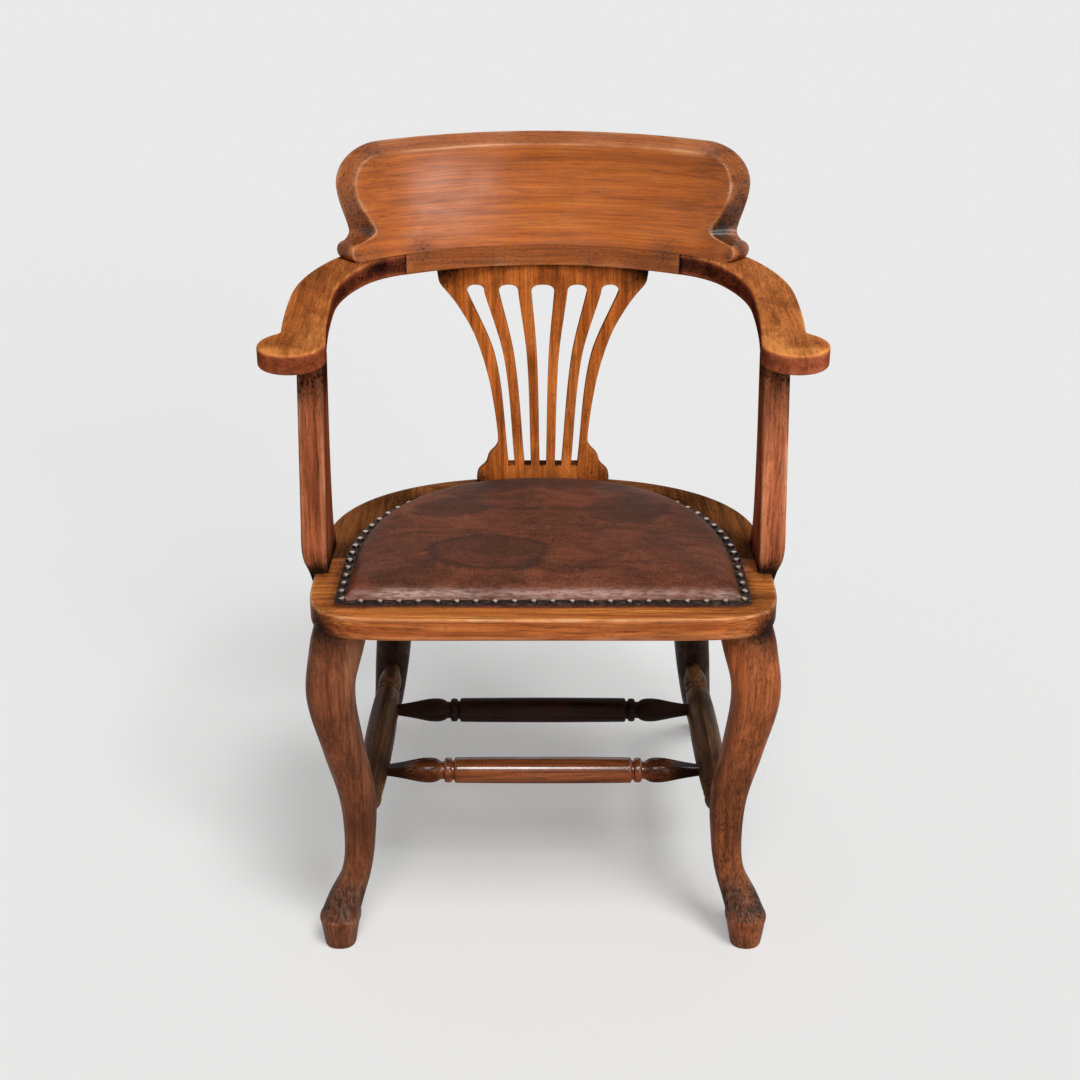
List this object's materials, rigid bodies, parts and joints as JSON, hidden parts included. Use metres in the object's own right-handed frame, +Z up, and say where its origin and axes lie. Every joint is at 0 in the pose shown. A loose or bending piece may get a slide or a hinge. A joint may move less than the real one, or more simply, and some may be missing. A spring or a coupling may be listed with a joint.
{
  "type": "wooden office armchair",
  "caption": "Oak desk armchair with curved arms, eared crest rail, pierced splat, nailed leather seat, cabriole front legs and turned stretchers.",
  "frame": {"origin": "middle of the chair's box on the floor", "axes": "+Z up, -Y towards the front of the seat, +X to the right of the front view"},
  "size_m": [0.6078, 0.552, 0.8603],
  "materials": {
    "oak": "worn orange-brown polish, dark at edges and in corners",
    "dowel_wood": "plain",
    "jute_webbing": "woven",
    "hessian": "coarse weave",
    "hair": "loose curled hair",
    "seat_leather": "worn, half gloss",
    "nailed_banding": "dark strip with aged brass nail heads",
    "steel": "plain screw steel"
  },
  "bodies": {
    "root": {"back_banding": "nailed_banding", "back_seat_rail": "oak", "crest_rail": "oak", "front_banding": "nailed_banding", "front_cross_stretcher": "oak", "front_left_leg": "oak", "front_right_leg": "oak", "front_seat_rail": "oak", "hair_pad": "hair", "hessian_sheet": "hessian", "leather_cover": "seat_leather", "left_arm": "oak", "left_arm_dowel": "dowel_wood", "left_arm_support": "oak", "left_banding": "nailed_banding", "left_crest_screw_a": "steel", "left_crest_screw_b": "steel", "left_seat_rail": "oak", "left_stretcher": "oak", "left_support_plug_a": "oak", "left_support_plug_b": "oak", "left_support_screw_a": "steel", "left_support_screw_b": "steel", "rear_cross_stretcher": "oak", "rear_left_leg": "oak", "rear_right_leg": "oak", "right_arm": "oak", "right_arm_dowel": "dowel_wood", "right_arm_support": "oak", "right_banding": "nailed_banding", "right_crest_screw_a": "steel", "right_crest_screw_b": "steel", "right_seat_rail": "oak", "right_stretcher": "oak", "right_support_plug_a": "oak", "right_support_plug_b": "oak", "right_support_screw_a": "steel", "right_support_screw_b": "steel", "seat_dowel_back_left_a": "dowel_wood", "seat_dowel_back_left_b": "dowel_wood", "seat_dowel_back_right_a": "dowel_wood", "seat_dowel_back_right_b": "dowel_wood", "seat_dowel_front_left_a": "dowel_wood", "seat_dowel_front_left_b": "dowel_wood", "seat_dowel_front_right_a": "dowel_wood", "seat_dowel_front_right_b": "dowel_wood", "splat": "oak", "webbing_cross_1": "jute_webbing", "webbing_cross_2": "jute_webbing", "webbing_cross_3": "jute_webbing", "webbing_long_1": "jute_webbing", "webbing_long_2": "jute_webbing", "webbing_long_3": "jute_webbing", "webbing_long_4": "jute_webbing"}
  },
  "joints": []
}
